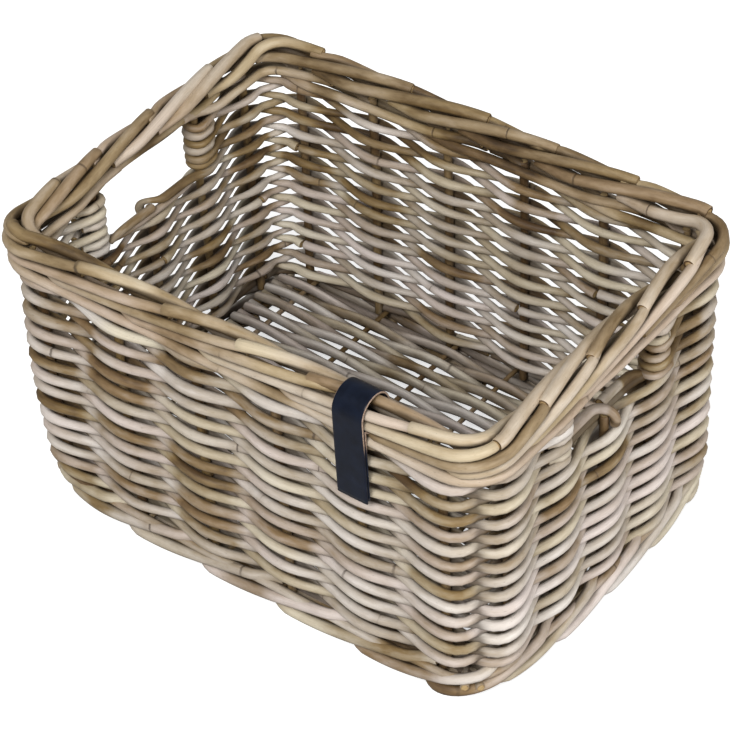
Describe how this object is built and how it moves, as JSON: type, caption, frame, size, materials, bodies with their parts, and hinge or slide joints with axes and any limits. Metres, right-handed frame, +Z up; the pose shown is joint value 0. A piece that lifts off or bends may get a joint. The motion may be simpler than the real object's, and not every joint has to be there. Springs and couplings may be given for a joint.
{
  "type": "bicycle basket",
  "caption": "Rectangular bicycle basket woven from rattan rods, open on top, with a hand slot in each short wall, a roped border and a leather strap looped round the front.",
  "frame": {"origin": "on the floor under the middle of the basket", "axes": "+X along the basket's length, front wall with the strap towards -Y, +Z up"},
  "size_m": [0.43, 0.3143, 0.243],
  "materials": {
    "rattan": "matt, peeled and weathered",
    "border_rattan": "matt, tan",
    "leather": "semi-gloss, smooth"
  },
  "bodies": {
    "basket": {"foot_rod_1": "rattan", "foot_rod_2": "rattan", "foot_rod_3": "rattan", "stake_left_1": "rattan", "stake_left_2": "rattan", "stake_left_3": "rattan", "stake_left_4": "rattan", "stake_left_5": "rattan", "stake_front_1": "rattan", "stake_front_2": "rattan", "stake_front_3": "rattan", "stake_front_4": "rattan", "stake_front_5": "rattan", "stake_front_6": "rattan", "stake_right_1": "rattan", "stake_right_2": "rattan", "stake_right_3": "rattan", "stake_right_4": "rattan", "stake_right_5": "rattan", "stake_back_1": "rattan", "stake_back_2": "rattan", "stake_back_3": "rattan", "stake_back_4": "rattan", "stake_back_5": "rattan", "stake_back_6": "rattan", "foot_wale": "rattan", "side_weaver_a1": "rattan", "side_weaver_a2": "rattan", "side_weaver_a3": "rattan", "side_weaver_b1": "rattan", "side_weaver_b2": "rattan", "side_weaver_b3": "rattan", "slot_weaver_front": "rattan", "slot_weaver_back": "rattan", "base_stick_1": "rattan", "base_stick_2": "rattan", "base_stick_3": "rattan", "base_stick_4": "rattan", "base_stick_5": "rattan", "base_stick_6": "rattan", "base_weaver_1": "rattan", "base_weaver_2": "rattan", "base_weaver_3": "rattan", "base_weaver_4": "rattan", "border_rod_1": "border_rattan", "border_rod_2": "border_rattan", "border_rod_3": "border_rattan", "border_rod_4": "border_rattan", "top_wale_outer": "border_rattan", "top_wale_inner": "border_rattan"},
    "strap": {"label_strap": "leather"}
  },
  "joints": [
    {"name": "strap_swing", "type": "hinge", "parent": "basket", "child": "strap", "pos_m": [0.108, -0.14321, 0.22788], "axis": [-1, 0, 0], "range_deg": [0, 120]}
  ]
}
